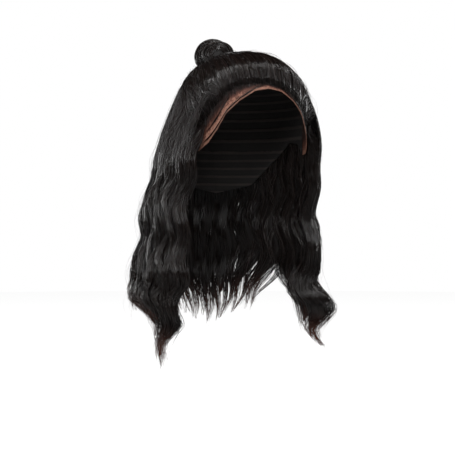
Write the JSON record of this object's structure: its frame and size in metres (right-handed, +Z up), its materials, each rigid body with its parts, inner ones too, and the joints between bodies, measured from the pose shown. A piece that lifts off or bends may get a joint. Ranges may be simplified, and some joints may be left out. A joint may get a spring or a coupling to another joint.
{
  "type": "lace front wig",
  "caption": "Dark human-hair wig in a half-up style: a shaped net cap with a sheer lace hairline, hair swept back into a top knot, and long body-wave hair hanging at the sides and back",
  "frame": {"origin": "inside of the crown, where the cap rests on the top of the wearer's head", "axes": "+Z up, the wearer faces -Y, the wearer's right is -X"},
  "size_m": [0.2558, 0.2117, 0.4183],
  "materials": {
    "hair": "natural off-black human hair with a soft sheen, a warm red-brown tint at the thin tips",
    "cap_net": "black stretch net with rows of weft",
    "lace": "fine sheer brown lace net"
  },
  "bodies": {
    "root": {"cap": "cap_net", "lace_front": "lace", "swept_lock_1": "hair", "swept_lock_2": "hair", "swept_lock_3": "hair", "swept_lock_4": "hair", "swept_lock_5": "hair", "swept_lock_6": "hair", "swept_lock_7": "hair", "swept_lock_8": "hair", "lock_right_front": "hair", "lock_right_side": "hair", "lock_right_rear": "hair", "lock_back_right_3": "hair", "lock_back_right_2": "hair", "lock_back_right_1": "hair", "lock_back_middle": "hair", "lock_back_left_1": "hair", "lock_back_left_2": "hair", "lock_back_left_3": "hair", "lock_left_rear": "hair", "lock_left_side": "hair", "lock_left_front": "hair", "ponytail_stub": "hair", "knot_lobe": "hair", "knot_heart": "hair", "knot_coil": "hair"}
  },
  "joints": []
}
